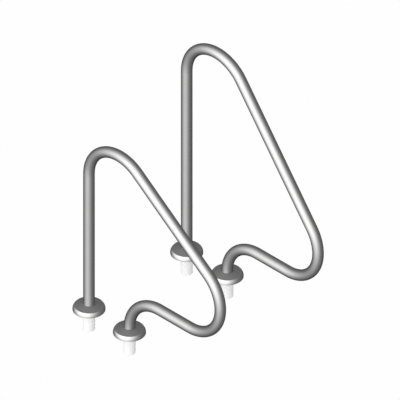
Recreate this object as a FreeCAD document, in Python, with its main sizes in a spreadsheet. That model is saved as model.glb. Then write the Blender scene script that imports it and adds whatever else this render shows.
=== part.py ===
"""Pair of figure-four pool handrails on wedge deck anchors (FreeCAD 1.1, millimetres).

Each rail is one bent stainless tube. It rises from its post foot, bends over the top, slopes down to
an outer return bend that overhangs the water, runs back level, and bends down into its return foot.
Each of the four feet stands in a moulded socket cast into the deck, where a wedge drawn up by a bolt
grips it, under an escutcheon that slides up the tube.

Frame: +Z up, z = 0 is the deck surface, +X points from the post feet towards the water, and +Y from
the short rail to the tall one. The origin is midway between the two post feet.
"""
import FreeCAD, Part
import Sketcher
import math
import os

from FreeCAD import Placement, Rotation, Vector

DIMENSIONS = {
    # rails, along the tube's centre line
    "tube_diameter": 42.4,
    "tube_wall": 2.0,
    "bend_radius": 155.0,
    "rail_spacing": 500.0,
    "foot_spacing": 207.0,
    "run_height": 176.5,
    "return_reach": 517.0,
    "short_top": 600.0,
    "tall_top": 806.3,
    # deck socket
    "fit_gap": 0.3,
    "socket_wall": 1.5,
    "socket_depth": 90.0,
    "socket_floor": 4.0,
    "socket_round": 7.0,
    "collar_radius": 48.0,
    "collar_height": 4.0,
    "shaft_radius": 22.7,
    "shaft_top": 57.0,
    "pocket_top": 6.0,
    "pocket_bottom": 52.0,
    "pocket_wall": 3.0,
    "pocket_neck": 3.0,
    # wedge and its bolt, whose axis leans towards the tube
    "lean": 4.5,
    "seat_distance": 31.0,
    "seat_height": 3.0,
    "wedge_back": 7.0,
    "wedge_width": 20.0,
    "wedge_top": 8.0,
    "wedge_bottom": 34.0,
    "bolt_radius": 4.0,
    "bolt_length": 45.0,
    "thread_gap": 0.05,
    "bolt_clearance": 0.5,
    "head_flats": 13.0,
    "head_height": 5.3,
    "head_gap": 0.1,
    "bevel_inside": 6.2,
    "bevel_outside": 8.0,
    "bevel_angle": 30.0,
    "spotface_radius": 9.3,
    "ring_bore": 4.2,
    "washer_radius": 8.0,
    "washer_thickness": 1.6,
    "tag_radius": 7.5,
    "tag_thickness": 1.0,
    "tongue_length": 18.0,
    "tongue_width": 6.3,
    "lead_hole_radius": 1.6,
    # tail plug
    "plug_lip": 2.0,
    "plug_length": 16.0,
    "plug_wall": 3.0,
    "plug_gap": 0.15,
    "plug_inset": 0.2,
    # escutcheon and its seal
    "escutcheon_radius": 60.0,
    "escutcheon_side": 2.0,
    "shoulder_radius": 54.0,
    "shoulder_height": 18.0,
    "shoulder_round": 1.2,
    "escutcheon_top": 23.1,
    "sheet": 1.5,
    "escutcheon_bore": 23.0,
    "seal_slide_gap": 0.15,
    "seal_seat_gap": 0.05,
    "seal_bottom": 19.4,
    "seal_ledge": 21.0,
    "seal_flange": 24.4,
    "seal_shoulder": 24.6,
    "seal_top": 26.0,
    "seal_lip": 0.4,
    # length of every cut that goes right through a piece
    "through": 120.0,
}

# formulas shared by several pieces, written for the spreadsheet's expressions
TUBE_R = "Dims.tube_diameter / 2"
TUBE_BORE = f"({TUBE_R} - Dims.tube_wall)"
SOCKET_BORE = f"({TUBE_R} + Dims.fit_gap)"
SOCKET_R = f"({SOCKET_BORE} + Dims.socket_wall)"
PLUG_BOTTOM = "(Dims.socket_depth - Dims.socket_floor - Dims.fit_gap)"
TAIL_DEPTH = f"({PLUG_BOTTOM} - Dims.plug_lip)"
POCKET_BACK = "(Dims.wedge_back + Dims.fit_gap)"

# plan angle from a foot to its wedge, which is on the side away from the water and the short rail
WEDGE_DIRECTION = 135.0

# largest error allowed where a built shape is compared with the sheet's numbers
LENGTH_ERROR = 0.01
VOLUME_ERROR = 0.002

doc = FreeCAD.newDocument("pool_handrails")
sheet = doc.addObject("Spreadsheet::Sheet", "Dims")


def fill_sheet():
    for row, (alias, value) in enumerate(DIMENSIONS.items(), start=1):
        sheet.set(f"A{row}", alias)
        sheet.set(f"B{row}", str(value))
        sheet.setAlias(f"B{row}", alias)
    doc.recompute()


def number(expression):
    """The value that the spreadsheet's numbers give to an expression."""
    value = sheet.evalExpression(expression.replace("Dims.", ""))
    return float(getattr(value, "Value", value))


def new_body(label, placement):
    body = doc.addObject("PartDesign::Body", label)
    body.Label = label
    body.Placement = placement
    return body


def new_sketch(body, plane, name, base=None, lean=False):
    """A sketch on one of the body's origin planes, moved by base (three expressions), or leaned."""
    sketch = body.newObject("Sketcher::SketchObject", f"{body.Name}_{name}")
    support = next(f for f in body.Origin.OriginFeatures if f.Role == plane)
    sketch.AttachmentSupport = [(support, "")]
    sketch.MapMode = "FlatFace"
    if lean:
        sketch.AttachmentOffset = Placement(Vector(), Rotation(Vector(0, 1, 0), -number("Dims.lean")))
        sketch.setExpression("AttachmentOffset.Rotation.Angle", "-Dims.lean")
    for letter, expression in zip("xyz", base or ()):
        sketch.setExpression(f"AttachmentOffset.Base.{letter}", expression)
    return sketch


def bind(sketch, kind, where, expression):
    """Add a dimension to the sketch and bind it to an expression."""
    index = sketch.addConstraint(Sketcher.Constraint(kind, *where, number(expression)))
    sketch.setExpression(f"Constraints[{index}]", expression)


def circle(sketch, radius, x="0", y="0"):
    centre = Vector(number(x), number(y), 0)
    index = sketch.addGeometry(Part.Circle(centre, Vector(0, 0, 1), number(radius)))
    bind(sketch, "Radius", (index,), radius)
    bind(sketch, "DistanceX", (-1, 1, index, 3), x)
    bind(sketch, "DistanceY", (-1, 1, index, 3), y)


def arc_between(start, end, radius):
    """The arc from start to end that turns left; Sketcher's arcs all run anticlockwise."""
    chord = end - start
    half = chord.Length / 2
    rise = math.sqrt(max(radius**2 - half**2, 0.0))
    left = Vector(-chord.y, chord.x, 0).normalize()
    centre = (start + end) / 2 + left * rise
    angles = [math.atan2(p.y - centre.y, p.x - centre.x) for p in (start, end)]
    return Part.ArcOfCircle(Part.Circle(centre, Vector(0, 0, 1), radius), *angles)


def outline(sketch, corners):
    """A closed loop through the corners, given as expressions (x, y) or (x, y, radius).

    A radius makes the edge that leads to its corner an arc, which turns left where the radius is
    positive and right where it starts with a minus sign.
    """
    points = [Vector(number(c[0]), number(c[1]), 0) for c in corners]
    ends = []
    for i, corner in enumerate(corners):
        start, end = points[i - 1], points[i]
        if len(corner) == 2:
            index = sketch.addGeometry(Part.LineSegment(start, end))
            ends.append((index, 1, 2))
            continue
        radius = corner[2].lstrip("-")
        turns_right = corner[2].startswith("-")
        pair = (end, start) if turns_right else (start, end)
        index = sketch.addGeometry(arc_between(*pair, number(radius)))
        bind(sketch, "Radius", (index,), radius)
        ends.append((index, 2, 1) if turns_right else (index, 1, 2))
    for i, corner in enumerate(corners):
        index, _, last = ends[i]
        following, first, _ = ends[(i + 1) % len(ends)]
        sketch.addConstraint(Sketcher.Constraint("Coincident", index, last, following, first))
        bind(sketch, "DistanceX", (-1, 1, index, last), corner[0])
        bind(sketch, "DistanceY", (-1, 1, index, last), corner[1])


def revolve(body, sketch, cut=False):
    kind = "PartDesign::Groove" if cut else "PartDesign::Revolution"
    feature = body.newObject(kind, f"{sketch.Name}_turned")
    feature.Profile = sketch
    feature.ReferenceAxis = (sketch, ["V_Axis"])
    feature.Angle = 360
    return feature


def extrude(body, sketch, length, cut=False, both_ways=False, upwards=True):
    kind = "PartDesign::Pocket" if cut else "PartDesign::Pad"
    feature = body.newObject(kind, f"{sketch.Name}_extruded")
    feature.Profile = sketch
    feature.setExpression("Length", length)
    feature.Midplane = both_ways
    feature.Reversed = upwards == cut and not both_ways
    return feature


def make_rail(label, top, placement):
    """One bent tube: a ring swept along straight runs joined by tangent bends."""
    body = new_body(label, placement)
    spine = new_sketch(body, "XZ_Plane", "spine")
    radius, reach = number("Dims.bend_radius"), number("Dims.return_reach")
    spacing = number("Dims.foot_spacing")
    run, crown, tail = number("Dims.run_height"), number(top), -number(TAIL_DEPTH)
    slope = math.atan2(run + radius - crown, reach - radius)
    out = Vector(-math.sin(slope), math.cos(slope), 0) * radius
    top_centre = Vector(radius, crown, 0)
    outer_centre = Vector(reach, run + radius, 0)
    foot_centre = Vector(spacing + radius, run - radius, 0)
    up, across = Vector(0, radius, 0), Vector(radius, 0, 0)
    line, turn = Part.LineSegment, Part.ArcOfCircle

    def bend(centre, start, end):
        return turn(Part.Circle(centre, Vector(0, 0, 1), radius), start, end)

    quarter = math.pi / 2
    pieces = [
        line(Vector(0, tail, 0), top_centre - across),
        bend(top_centre, quarter + slope, 2 * quarter),
        line(top_centre + out, outer_centre + out),
        bend(outer_centre, -quarter, quarter + slope),
        line(outer_centre - up, foot_centre + up),
        bend(foot_centre, quarter, 2 * quarter),
        line(foot_centre - across, Vector(spacing, tail, 0)),
    ]
    spine.addGeometry(pieces)
    # the first two bends are walked clockwise, from their own end to their own start
    joints = [(0, 2, 1, 2), (1, 1, 2, 1), (2, 2, 3, 2), (3, 1, 4, 1), (4, 2, 5, 1), (5, 2, 6, 1)]
    for joint in joints:
        spine.addConstraint(Sketcher.Constraint("Tangent", *joint))
    for upright in (0, 6):
        spine.addConstraint(Sketcher.Constraint("Vertical", upright))
    spine.addConstraint(Sketcher.Constraint("Horizontal", 4))
    spine.addConstraint(Sketcher.Constraint("PointOnObject", 0, 1, -2))
    for index in (1, 3, 5):
        bind(spine, "Radius", (index,), "Dims.bend_radius")
    bind(spine, "DistanceY", (-1, 1, 0, 1), f"-{TAIL_DEPTH}")
    bind(spine, "DistanceY", (-1, 1, 6, 2), f"-{TAIL_DEPTH}")
    bind(spine, "DistanceX", (-1, 1, 6, 2), "Dims.foot_spacing")
    bind(spine, "DistanceY", (-1, 1, 1, 3), top)
    bind(spine, "DistanceX", (-1, 1, 3, 3), "Dims.return_reach")
    bind(spine, "DistanceY", (-1, 1, 4, 1), "Dims.run_height")

    ring = new_sketch(body, "XY_Plane", "ring", base=("0", "0", f"-{TAIL_DEPTH}"))
    circle(ring, TUBE_R)
    circle(ring, TUBE_BORE)
    tube = body.newObject("PartDesign::AdditivePipe", f"{body.Name}_tube")
    tube.Profile = ring
    tube.Spine = spine
    doc.recompute()
    area = math.pi * (number(TUBE_R) ** 2 - number(TUBE_BORE) ** 2)
    length = sum(piece.length() for piece in pieces)
    if abs(body.Shape.Volume / (area * length) - 1) > VOLUME_ERROR:
        raise RuntimeError(f"{label}: the tube's volume isn't its section times its length")
    return body


def lean_line(offset, depth):
    """Plan distance, at a depth below the deck, of the plane that lies offset behind the bolt's axis."""
    along = f"(Dims.seat_height + {depth}) * tan(Dims.lean)"
    return f"Dims.seat_distance + {offset} / cos(Dims.lean) + {along}"


def make_socket(label, placement):
    """Moulded anchor socket: a closed cup with a collar on the deck and a leaning pocket for the wedge."""
    body = new_body(label, placement)
    shell = new_sketch(body, "XZ_Plane", "shell")
    outline(
        shell,
        [
            ("0", "-Dims.socket_depth"),
            ("Dims.shaft_radius - Dims.socket_round", "-Dims.socket_depth"),
            ("Dims.shaft_radius", "-Dims.socket_depth + Dims.socket_round", "Dims.socket_round"),
            ("Dims.shaft_radius", "-Dims.shaft_top"),
            (SOCKET_R, "-Dims.shaft_top"),
            (SOCKET_R, "0"),
            ("Dims.collar_radius", "0"),
            ("Dims.collar_radius", "Dims.collar_height"),
            ("0", "Dims.collar_height"),
        ],
    )
    revolve(body, shell)

    housing_wall = f"({POCKET_BACK} + Dims.pocket_wall)"
    housing_bottom = "(Dims.pocket_bottom + Dims.pocket_wall)"
    housing = new_sketch(body, "XZ_Plane", "housing")
    outline(
        housing,
        [
            ("0", "0"),
            ("0", f"-{housing_bottom}"),
            (lean_line(housing_wall, housing_bottom), f"-{housing_bottom}"),
            (lean_line(housing_wall, "Dims.pocket_neck"), "-Dims.pocket_neck"),
            (lean_line(housing_wall, "Dims.pocket_neck"), "0"),
        ],
    )
    extrude(body, housing, "Dims.wedge_width + 2 * (Dims.fit_gap + Dims.pocket_wall)", both_ways=True)

    bore = new_sketch(body, "XZ_Plane", "bore")
    floor = "-Dims.socket_depth + Dims.socket_floor"
    mouth = "Dims.collar_height"
    outline(bore, [("0", floor), (SOCKET_BORE, floor), (SOCKET_BORE, mouth), ("0", mouth)])
    revolve(body, bore, cut=True)

    pocket = new_sketch(body, "XZ_Plane", "pocket")
    outline(
        pocket,
        [
            ("0", "-Dims.pocket_top"),
            ("0", "-Dims.pocket_bottom"),
            (lean_line(POCKET_BACK, "Dims.pocket_bottom"), "-Dims.pocket_bottom"),
            (lean_line(POCKET_BACK, "Dims.pocket_top"), "-Dims.pocket_top"),
        ],
    )
    extrude(body, pocket, "Dims.wedge_width + 2 * Dims.fit_gap", cut=True, both_ways=True)

    seat = ("Dims.seat_distance", "0", "Dims.seat_height")
    spotface = new_sketch(body, "XY_Plane", "spotface", base=seat, lean=True)
    circle(spotface, "Dims.spotface_radius")
    extrude(body, spotface, "Dims.collar_height", cut=True, upwards=True)
    hole = new_sketch(body, "XY_Plane", "hole", base=seat, lean=True)
    circle(hole, "Dims.bolt_radius + Dims.bolt_clearance")
    extrude(body, hole, "Dims.through", cut=True, upwards=False)
    return body


def make_wedge(label, placement):
    """Bronze wedge: hollowed to the tube in front, and parallel to the pocket's leaning wall behind."""
    body = new_body(label, placement)
    block = new_sketch(body, "XZ_Plane", "block")
    outline(
        block,
        [
            ("0", "-Dims.wedge_top"),
            ("0", "-Dims.wedge_bottom"),
            (lean_line("Dims.wedge_back", "Dims.wedge_bottom"), "-Dims.wedge_bottom"),
            (lean_line("Dims.wedge_back", "Dims.wedge_top"), "-Dims.wedge_top"),
        ],
    )
    extrude(body, block, "Dims.wedge_width", both_ways=True)
    hollow = new_sketch(body, "XY_Plane", "hollow")
    circle(hollow, SOCKET_BORE)
    extrude(body, hollow, "Dims.through", cut=True, both_ways=True)
    seat = ("Dims.seat_distance", "0", "Dims.seat_height")
    thread = new_sketch(body, "XY_Plane", "thread", base=seat, lean=True)
    circle(thread, "Dims.bolt_radius + Dims.thread_gap")
    extrude(body, thread, "Dims.through", cut=True, both_ways=True)
    return body


def make_bolt(label, placement):
    """Hexagon-head bolt that draws the wedge up; its frame is the seat's, with the axis along +Z."""
    body = new_body(label, placement)
    stack = "(Dims.washer_thickness + Dims.tag_thickness + Dims.head_gap)"
    head = new_sketch(body, "XY_Plane", "head", base=("0", "0", stack))
    corner = "Dims.head_flats / sqrt(3)"
    outline(head, [(f"{corner} * cos({60 * i})", f"{corner} * sin({60 * i})") for i in range(6)])
    extrude(body, head, "Dims.head_height")
    shank = new_sketch(body, "XY_Plane", "shank", base=("0", "0", stack))
    circle(shank, "Dims.bolt_radius")
    extrude(body, shank, "Dims.bolt_length", upwards=False)
    head_top = f"{stack} + Dims.head_height"
    bevel_drop = "(Dims.bevel_outside - Dims.bevel_inside) * tan(Dims.bevel_angle)"
    bevel = new_sketch(body, "XZ_Plane", "bevel")
    outline(
        bevel,
        [
            ("Dims.bevel_inside", head_top),
            ("Dims.bevel_outside", f"{head_top} - {bevel_drop}"),
            ("Dims.bevel_outside", head_top),
        ],
    )
    revolve(body, bevel, cut=True)
    return body


def make_washer(label, placement):
    body = new_body(label, placement)
    ring = new_sketch(body, "XY_Plane", "ring")
    circle(ring, "Dims.washer_radius")
    circle(ring, "Dims.ring_bore")
    extrude(body, ring, "Dims.washer_thickness")
    return body


def make_bonding_tag(label, placement):
    """Flat earth terminal on the washer: a ring with a tongue for the bonding lead."""
    body = new_body(label, placement)
    ring = new_sketch(body, "XY_Plane", "ring", base=("0", "0", "Dims.washer_thickness"))
    circle(ring, "Dims.tag_radius")
    extrude(body, ring, "Dims.tag_thickness")
    tongue = new_sketch(body, "XY_Plane", "tongue", base=("0", "0", "Dims.washer_thickness"))
    side = "Dims.tongue_width / 2"
    tip = f"Dims.tongue_length - {side}"
    end = ("0", f"{tip} + {side}", side)
    outline(tongue, [(f"-{side}", "0"), (side, "0"), (side, tip), end, (f"-{side}", tip, side)])
    extrude(body, tongue, "Dims.tag_thickness")
    hole = new_sketch(body, "XY_Plane", "hole")
    circle(hole, "Dims.ring_bore")
    circle(hole, "Dims.lead_hole_radius", "0", tip)
    extrude(body, hole, "Dims.through", cut=True, both_ways=True)
    return body


def make_tail_plug(label, placement):
    """Moulded plug that closes the tube's lower end."""
    body = new_body(label, placement)
    spigot = f"{TUBE_BORE} - Dims.plug_gap"
    lip = f"{TUBE_R} - Dims.plug_inset"
    hollow = f"{TUBE_BORE} - Dims.plug_wall"
    top = f"-{TAIL_DEPTH} + Dims.plug_length"
    section = new_sketch(body, "XZ_Plane", "section")
    outline(
        section,
        [
            ("0", f"-{PLUG_BOTTOM}"),
            (lip, f"-{PLUG_BOTTOM}"),
            (lip, f"-{TAIL_DEPTH}"),
            (spigot, f"-{TAIL_DEPTH}"),
            (spigot, top),
            (hollow, top),
            (hollow, f"-{TAIL_DEPTH}"),
            ("0", f"-{TAIL_DEPTH}"),
        ],
    )
    revolve(body, section)
    return body


def make_escutcheon(label, placement):
    """Pressed cover: an upright edge, a side that curves in to a crisp shoulder, and a shallow cone."""
    body = new_body(label, placement)
    edge_radius, edge_height = "Dims.escutcheon_radius", "Dims.escutcheon_side"
    shoulder = ("Dims.shoulder_radius", "Dims.shoulder_height")
    width = f"({edge_radius} - {shoulder[0]})"
    height = f"({shoulder[1]} - {edge_height})"
    side = f"(({height} ^ 2 + {width} ^ 2) / (2 * {width}))"
    inner_side = f"({side} - Dims.sheet)"
    # the inside of the shoulder lies one thickness from it towards the centre of the side's arc
    inner_shoulder = (
        f"{shoulder[0]} - Dims.sheet * ({side} - {width}) / {side}",
        f"{shoulder[1]} - Dims.sheet * {height} / {side}",
    )
    section = new_sketch(body, "XZ_Plane", "section")
    outline(
        section,
        [
            (f"{edge_radius} - Dims.sheet", "0"),
            (edge_radius, "0"),
            (edge_radius, edge_height),
            (*shoulder, side),
            ("Dims.escutcheon_bore", "Dims.escutcheon_top"),
            ("Dims.escutcheon_bore", "Dims.escutcheon_top - Dims.sheet"),
            inner_shoulder,
            (f"{edge_radius} - Dims.sheet", edge_height, f"-{inner_side}"),
        ],
    )
    cover = revolve(body, section)
    doc.recompute()
    rounded = body.newObject("PartDesign::Fillet", f"{body.Name}_rounded")
    rounded.Base = (cover, [circular_edge(cover.Shape, number(shoulder[0]), number(shoulder[1]))])
    rounded.setExpression("Radius", "Dims.shoulder_round")
    return body


def circular_edge(shape, radius, height):
    """The name of the circular edge of that radius at that height."""
    for index, edge in enumerate(shape.Edges, start=1):
        if isinstance(edge.Curve, Part.Circle) and abs(edge.Curve.Radius - radius) < LENGTH_ERROR:
            if abs(edge.Curve.Center.z - height) < LENGTH_ERROR:
                return f"Edge{index}"
    raise RuntimeError(f"no circular edge of radius {radius} at height {height}")


def make_seal(label, placement):
    """Rubber grommet on the escutcheon's inner edge, a sliding fit on the tube."""
    body = new_body(label, placement)
    bore = f"{TUBE_R} + Dims.seal_slide_gap"
    neck = "Dims.escutcheon_bore - Dims.seal_seat_gap"
    section = new_sketch(body, "XZ_Plane", "section")
    outline(
        section,
        [
            (bore, "Dims.seal_bottom"),
            ("Dims.seal_flange", "Dims.seal_bottom"),
            ("Dims.seal_flange", "Dims.seal_ledge"),
            (neck, "Dims.seal_ledge"),
            (neck, "Dims.seal_shoulder"),
            (f"{bore} + Dims.seal_lip", "Dims.seal_top"),
            (bore, "Dims.seal_top"),
        ],
    )
    revolve(body, section)
    return body


def make_foot(name, position):
    """Everything at one foot of a rail, apart from the tube."""
    foot = Placement(position, Rotation(Vector(0, 0, 1), WEDGE_DIRECTION))
    seat_point = Vector(number("Dims.seat_distance"), 0, number("Dims.seat_height"))
    seat = foot * Placement(seat_point, Rotation(Vector(0, 1, 0), -number("Dims.lean")))
    return [
        make_socket(f"{name}_socket", foot),
        make_wedge(f"{name}_wedge", foot),
        make_tail_plug(f"{name}_tail_plug", foot),
        make_escutcheon(f"{name}_escutcheon", foot),
        make_seal(f"{name}_seal", foot),
        make_bolt(f"{name}_bolt", seat),
        make_washer(f"{name}_washer", seat),
        make_bonding_tag(f"{name}_bonding_tag", seat),
    ]


def check(nodes):
    """Stop if anything in the document failed, or if a node isn't one valid closed solid."""
    doc.recompute()
    for item in doc.Objects:
        if {"Invalid", "Error"} & set(item.State):
            raise RuntimeError(f"{item.Label} is {item.State}")
    for node in nodes:
        shape = node.Shape
        if shape.isNull() or not shape.isValid() or len(shape.Solids) != 1:
            raise RuntimeError(f"{node.Label} isn't one valid solid")


def main():
    fill_sheet()
    half_spacing = number("Dims.rail_spacing") / 2
    nodes = []
    for rail, side in (("short", -1), ("tall", 1)):
        origin = Vector(0, side * half_spacing, 0)
        nodes.append(make_rail(f"{rail}_rail", f"Dims.{rail}_top", Placement(origin, Rotation())))
        nodes += make_foot(f"{rail}_post", origin)
        nodes += make_foot(f"{rail}_return", origin + Vector(number("Dims.foot_spacing"), 0, 0))
    check(nodes)
    os.makedirs("parts", exist_ok=True)
    for node in nodes:
        node.Shape.exportStep(f"parts/{node.Label}.step")
        box = node.Shape.optimalBoundingBox()
        limits = (box.XMin, box.YMin, box.ZMin, box.XMax, box.YMax, box.ZMax)
        corners = " ".join(f"{limit:8.1f}" for limit in limits)
        print(f"{node.Label:28s} {node.Shape.Volume:10.0f} mm3  {corners}")


main()
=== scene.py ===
"""Looks of the pair of pool handrails: satin stainless tube and escutcheons over white deck sockets."""
import math

import bpy
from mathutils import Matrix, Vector


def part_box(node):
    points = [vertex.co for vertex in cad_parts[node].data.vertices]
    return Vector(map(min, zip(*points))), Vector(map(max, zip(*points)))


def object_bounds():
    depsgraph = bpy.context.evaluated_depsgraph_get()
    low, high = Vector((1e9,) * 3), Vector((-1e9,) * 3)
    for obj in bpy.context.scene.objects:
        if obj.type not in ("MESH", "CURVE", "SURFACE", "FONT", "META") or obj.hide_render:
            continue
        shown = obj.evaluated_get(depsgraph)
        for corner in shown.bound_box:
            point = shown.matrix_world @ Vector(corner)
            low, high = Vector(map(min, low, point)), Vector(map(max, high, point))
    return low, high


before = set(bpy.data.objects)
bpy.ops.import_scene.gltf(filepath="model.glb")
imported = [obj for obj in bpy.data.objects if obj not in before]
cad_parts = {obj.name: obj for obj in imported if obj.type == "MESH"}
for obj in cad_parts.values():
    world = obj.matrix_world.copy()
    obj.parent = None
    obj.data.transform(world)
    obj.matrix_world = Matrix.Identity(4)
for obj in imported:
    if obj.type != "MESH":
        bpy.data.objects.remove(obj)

cad_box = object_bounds()
scene = bpy.context.scene
FEET = ("short_post", "short_return", "tall_post", "tall_return")
RAILS = ("short_rail", "tall_rail")

rail_low, rail_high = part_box("tall_rail")
plug_low, plug_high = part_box("tall_return_tail_plug")
TUBE_RADIUS = -rail_low.x  # the posts stand at x = 0
RAIL_OFFSET = (rail_low.y + rail_high.y) / 2  # each rail's plane, either side of y = 0
RETURN_FOOT = (plug_low.x + plug_high.x) / 2  # the return feet's x


# ---------------------------------------------------------------- shader helpers

class Shader:
    """A node tree of a material or of the world, with short names for adding and joining nodes."""

    def __init__(self, owner, output="OutputMaterial"):
        self.owner = owner
        owner.use_nodes = True
        self.tree = owner.node_tree
        self.tree.nodes.clear()
        self.output = self.add(output)

    def add(self, kind, inputs=None, **settings):
        node = self.tree.nodes.new("ShaderNode" + kind)
        for key, value in settings.items():
            setattr(node, key, value)
        for key, value in (inputs or {}).items():
            if isinstance(value, bpy.types.NodeSocket):
                self.tree.links.new(value, node.inputs[key])
            else:
                node.inputs[key].default_value = value
        return node

    def math(self, operation, *values):
        return self.add("Math", dict(enumerate(values)), operation=operation).outputs[0]

    def place(self):
        """The surface point in metres, in the object's own frame, as x, y and z."""
        return self.add("SeparateXYZ", {0: self.add("TexCoord").outputs["Object"]}).outputs

    def vector(self, x, y, z):
        return self.add("CombineXYZ", {0: x, 1: y, 2: z}).outputs[0]

    def stretched(self, place, scales):
        """The vector of three coordinates, each multiplied by its own scale."""
        return self.vector(*(self.math("MULTIPLY", value, scale) for value, scale in zip(place, scales)))

    def noise(self, vector, scale, detail=3.0, roughness=0.5):
        inputs = {"Vector": vector, "Scale": scale, "Detail": detail, "Roughness": roughness}
        return self.add("TexNoise", inputs).outputs["Fac"]

    def spread(self, value, low, high, start=0.3, end=0.7):
        """Map a noise value from start..end to low..high."""
        inputs = {"Value": value, "From Min": start, "From Max": end, "To Min": low, "To Max": high}
        return self.add("MapRange", inputs).outputs[0]

    def blend(self, value, first, second):
        """A colour between two, by a value from 0 to 1."""
        inputs = {0: value, 6: (*first, 1), 7: (*second, 1)}
        return self.add("Mix", inputs, data_type="RGBA").outputs[2]

    def bump(self, height, distance):
        inputs = {"Height": height, "Strength": 1.0, "Distance": distance}
        return self.add("Bump", inputs).outputs["Normal"]

    def finish(self, surface):
        self.tree.links.new(surface, self.output.inputs["Surface"])
        return self.owner

    def principled(self, **inputs):
        """Finish with a Principled surface: base_color sets its socket Base Color, and so on."""
        sockets = {key.replace("_", " ").title(): value for key, value in inputs.items()}
        return self.finish(self.add("BsdfPrincipled", sockets).outputs[0])


def grey(level, warmth=0.0):
    return (level * (1 + warmth), level, level * (1 - warmth))


def foot_radius(s, x, y):
    """Distance from the axis of the nearest foot."""
    past_middle = s.math("GREATER_THAN", x, RETURN_FOOT / 2)
    dx = s.math("SUBTRACT", x, s.math("MULTIPLY", past_middle, RETURN_FOOT))
    dy = s.math("SUBTRACT", s.math("ABSOLUTE", y), RAIL_OFFSET)
    squares = s.math("ADD", s.math("MULTIPLY", dx, dx), s.math("MULTIPLY", dy, dy))
    return s.math("SQRT", squares)


# ---------------------------------------------------------------- materials

STEEL_GREY = 0.58
COVER_GREY = 0.64
EDGE_TINT = (0.0, 0.0, 0.0, 1)  # what the metal reflects at its silhouette: nothing, so its edges are dark
STEEL_ROUGHNESS = 0.25
FASTENER_ROUGHNESS = 0.3
DULLEST, BRIGHTEST = 0.955, 1.02  # the steel's grey is multiplied by these
DULL_WARMTH = 0.004
CLOUD_SHARE, GRAIN_SHARE = 0.7, 0.3  # of the change in its grey
CLOUD_ROUGHNESS = 0.015
SCRATCH_ROUGHNESS = 0.05

# scales are in noise cells to a metre, and heights in metres
GRAIN_ACROSS = 1300.0
GRAIN_ALONG_TUBE = 30.0
GRAIN_ROUND_COVER = 12.0
GRAIN_HEIGHT = 1.2e-5
FASTENER_GRAIN_HEIGHT = 6e-6

BRONZE_HOLLOW = (0.24, 0.13, 0.06)
BRONZE_RUBBED = (0.66, 0.42, 0.22)
TIN_DULL = (0.6, 0.58, 0.52)
TIN_BRIGHT = (0.74, 0.73, 0.7)
RUBBER_DARK = (0.125, 0.125, 0.128)
RUBBER_BLOOM = (0.16, 0.16, 0.16)
PLASTIC_GRIME = 0.965  # the plastic's grey is multiplied by this in its flow marks
PLASTIC_WARMTH = 0.004
PLASTIC_FLOW = (3.0, 3.0, 1.0)  # the marks are longest along z


def steel_finish(s, grain, cloud, level=STEEL_GREY, roughness=STEEL_ROUGHNESS, height=GRAIN_HEIGHT):
    """Stainless steel with a polishing grain, and faint clouding where hands and water have been."""
    shine = s.math("ADD", s.spread(cloud, 0.0, CLOUD_SHARE), s.spread(grain, 0.0, GRAIN_SHARE))
    tint = s.blend(shine, grey(level * DULLEST, DULL_WARMTH), grey(level * BRIGHTEST))
    clouding = s.spread(cloud, roughness + CLOUD_ROUGHNESS, roughness - CLOUD_ROUGHNESS)
    scratches = s.spread(grain, -SCRATCH_ROUGHNESS, SCRATCH_ROUGHNESS)
    rough = s.math("ADD", clouding, scratches)
    normal = s.bump(grain, height)
    return s.principled(
        base_color=tint, metallic=1.0, roughness=rough, specular_tint=EDGE_TINT, normal=normal
    )


def tube_steel(name):
    """The grain runs along the tube: it is stretched in the plane of the bends, and fine round the tube."""
    s = Shader(bpy.data.materials.new(name))
    x, y, z = s.place()
    across = s.math("DIVIDE", s.math("SUBTRACT", s.math("ABSOLUTE", y), RAIL_OFFSET), TUBE_RADIUS)
    across = s.math("MINIMUM", s.math("MAXIMUM", across, -1.0), 1.0)
    round_tube = s.math("MULTIPLY", s.math("ARCSINE", across), TUBE_RADIUS)
    lines = s.stretched((x, round_tube, z), (GRAIN_ALONG_TUBE, GRAIN_ACROSS, GRAIN_ALONG_TUBE))
    grain = s.noise(lines, scale=1.0, detail=5.0, roughness=0.7)
    cloud = s.noise(s.vector(x, y, z), scale=11.0, detail=4.0)
    return steel_finish(s, grain, cloud)


def spun_steel(name):
    """Fine rings round the foot's axis, as a pressed and spun cover has."""
    s = Shader(bpy.data.materials.new(name))
    x, y, z = s.place()
    rings = s.stretched((foot_radius(s, x, y), z, x), (GRAIN_ACROSS, GRAIN_ACROSS, GRAIN_ROUND_COVER))
    grain = s.noise(rings, scale=1.0, detail=5.0, roughness=0.7)
    cloud = s.noise(s.vector(x, y, z), scale=22.0, detail=4.0)
    return steel_finish(s, grain, cloud, level=COVER_GREY)


def fastener_steel(name):
    """A fine grain that runs no way in particular."""
    s = Shader(bpy.data.materials.new(name))
    where = s.vector(*s.place())
    grain = s.noise(where, scale=1800.0, detail=3.0)
    cloud = s.noise(where, scale=160.0, detail=4.0)
    return steel_finish(s, grain, cloud, roughness=FASTENER_ROUGHNESS, height=FASTENER_GRAIN_HEIGHT)


def cast_bronze(name):
    """Sand-cast skin: grainy, darker in its hollows, brighter where it stands proud."""
    s = Shader(bpy.data.materials.new(name))
    where = s.vector(*s.place())
    sand = s.noise(where, scale=900.0, detail=4.0, roughness=0.65)
    lumps = s.noise(where, scale=90.0, detail=3.0)
    height = s.math("ADD", s.math("MULTIPLY", lumps, 0.6), s.math("MULTIPLY", sand, 0.4))
    tint = s.blend(s.spread(height, 0, 1, start=0.36, end=0.62), BRONZE_HOLLOW, BRONZE_RUBBED)
    rough = s.spread(height, 0.62, 0.4)
    return s.principled(base_color=tint, metallic=1.0, roughness=rough, normal=s.bump(height, 1.2e-4))


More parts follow.
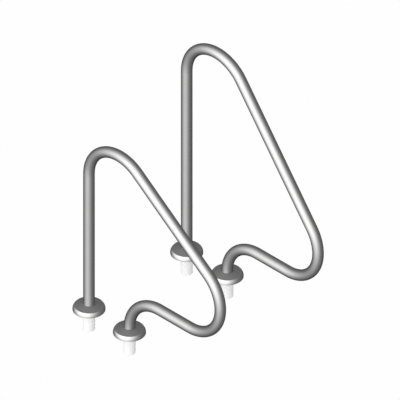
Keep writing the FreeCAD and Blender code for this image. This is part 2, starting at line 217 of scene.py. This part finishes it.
def tinned_brass(name):
    """A thin tin plating, duller in patches."""
    s = Shader(bpy.data.materials.new(name))
    where = s.vector(*s.place())
    mottle = s.noise(where, scale=240.0, detail=4.0, roughness=0.6)
    tint = s.blend(s.spread(mottle, 0, 1), TIN_DULL, TIN_BRIGHT)
    rough = s.spread(mottle, 0.42, 0.3)
    return s.principled(base_color=tint, metallic=1.0, roughness=rough, normal=s.bump(mottle, 2e-5))


def moulded_plastic(name, level, roughness):
    """White moulded plastic with a fine texture, faint flow marks and a little grime in them."""
    s = Shader(bpy.data.materials.new(name))
    place = s.place()
    flow = s.noise(s.stretched(place, PLASTIC_FLOW), scale=45.0, detail=4.0)
    texture = s.noise(s.vector(*place), scale=700.0, detail=3.0)
    tint = s.blend(s.spread(flow, 0, 1), grey(level * PLASTIC_GRIME, PLASTIC_WARMTH), grey(level))
    rough = s.spread(flow, roughness + 0.05, roughness - 0.05)
    return s.principled(base_color=tint, roughness=rough, normal=s.bump(texture, 3e-6))


def moulded_rubber(name):
    """Dark grey rubber with a pale bloom on it."""
    s = Shader(bpy.data.materials.new(name))
    where = s.vector(*s.place())
    bloom = s.noise(where, scale=380.0, detail=5.0, roughness=0.65)
    tint = s.blend(s.spread(bloom, 0, 1, start=0.4, end=0.75), RUBBER_DARK, RUBBER_BLOOM)
    rough = s.spread(bloom, 0.55, 0.75)
    return s.principled(base_color=tint, roughness=rough, normal=s.bump(bloom, 1.5e-5))


def dress(nodes, material):
    for node in nodes:
        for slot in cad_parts[node].material_slots:
            slot.material = material


def at_feet(piece):
    return [f"{foot}_{piece}" for foot in FEET]


dress(RAILS, tube_steel("satin_tube"))
dress(at_feet("escutcheon"), spun_steel("spun_cover"))
dress(at_feet("socket"), moulded_plastic("socket_plastic", level=0.84, roughness=0.2))
dress(at_feet("tail_plug"), moulded_plastic("plug_plastic", level=0.8, roughness=0.45))
dress(at_feet("seal"), moulded_rubber("seal_rubber"))
dress(at_feet("wedge"), cast_bronze("wedge_bronze"))
dress(at_feet("bolt") + at_feet("washer"), fastener_steel("fastener_steel"))
dress(at_feet("bonding_tag"), tinned_brass("tag_tinned"))


# ---------------------------------------------------------------- camera and floor

VIEW_AZIMUTH = math.radians(45)
VIEW_ELEVATION = math.asin(math.tan(math.radians(30)))  # a true isometric view
VIEW_WIDTH = 1.447
AIM_ABOVE_CENTRE = 0.057
AIM_RIGHT_OF_CENTRE = 0.001
CAMERA_DISTANCE = 4.0

back = Vector(
    (
        math.sin(VIEW_AZIMUTH) * math.cos(VIEW_ELEVATION),
        -math.cos(VIEW_AZIMUTH) * math.cos(VIEW_ELEVATION),
        math.sin(VIEW_ELEVATION),
    )
)
right = Vector((math.cos(VIEW_AZIMUTH), math.sin(VIEW_AZIMUTH), 0))
upward = back.cross(right)
low, high = cad_box
aim = (low + high) / 2 + upward * AIM_ABOVE_CENTRE + right * AIM_RIGHT_OF_CENTRE

camera_data = bpy.data.cameras.new("camera")
camera_data.type = "ORTHO"
camera_data.ortho_scale = VIEW_WIDTH
camera = bpy.data.objects.new("camera", camera_data)
camera.location = aim + back * CAMERA_DISTANCE
camera.rotation_euler = (-back).to_track_quat("-Z", "Y").to_euler()
scene.collection.objects.link(camera)
scene.camera = camera

WHITE = (1, 1, 1, 1)
FLOOR_HALF = 8.0
FLOOR_GLOW = 0.99
floor_mesh = bpy.data.meshes.new("floor")
corners = [(-1, -1), (1, -1), (1, 1), (-1, 1)]
floor_mesh.from_pydata([(x * FLOOR_HALF, y * FLOOR_HALF, low.z) for x, y in corners], [], [(0, 1, 2, 3)])
pale = Shader(bpy.data.materials.new("pale_floor"))
glow = pale.add("Emission", {"Color": WHITE, "Strength": FLOOR_GLOW})
floor_mesh.materials.append(pale.finish(glow.outputs[0]))
pale.owner.cycles.emission_sampling = "NONE"  # a surface finds so wide a light by chance, with less noise
floor = bpy.data.objects.new("floor", floor_mesh)
scene.collection.objects.link(floor)

# polished metal mirrors the studio dome alone
for thing in (floor, *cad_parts.values()):
    thing.visible_glossy = False


# ---------------------------------------------------------------- light

def towards(left, above):
    """The direction so many degrees to the left of the camera, and above the line to it."""
    left, above = math.radians(left), math.radians(above)
    sideways = back * math.cos(left) - right * math.sin(left)
    return sideways * math.cos(above) + upward * math.sin(above)


# a soft grey studio dome: its even level, then each broad light's direction, strength and tightness
DOME_LEVEL = 0.19
DOME_LIGHTS = (
    (towards(30, -10), 1.9, 3.5),  # the main light, beside the camera
    (towards(80, 15), 0.3, 10.0),  # a fill at the left
    (towards(180, 5), 1.3, 20.0),  # one behind, for the steel's far side
)


def studio_dome():
    """The dome lights the object, and the camera sees a plain white backdrop in its place."""
    s = Shader(bpy.data.worlds.new("studio"), "OutputWorld")
    direction = s.add("TexCoord").outputs["Generated"]

    def facing(light):
        return s.add("VectorMath", {0: direction, 1: light}, operation="DOT_PRODUCT").outputs["Value"]

    level = DOME_LEVEL
    for light, strength, tightness in DOME_LIGHTS:
        half = s.math("MULTIPLY_ADD", facing(light), 0.5, 0.5)
        lobe = s.math("MULTIPLY", s.math("POWER", half, tightness), strength)
        level = s.math("ADD", lobe, level)
    dome = s.add("Background", {"Color": WHITE, "Strength": level})
    backdrop = s.add("Background", {"Color": WHITE, "Strength": 1.0})
    seen = s.add("LightPath").outputs["Is Camera Ray"]
    sky = s.add("MixShader", {0: seen, 1: dome.outputs[0], 2: backdrop.outputs[0]})
    scene.world = s.finish(sky.outputs[0])


studio_dome()
scene.view_settings.view_transform = "Standard"
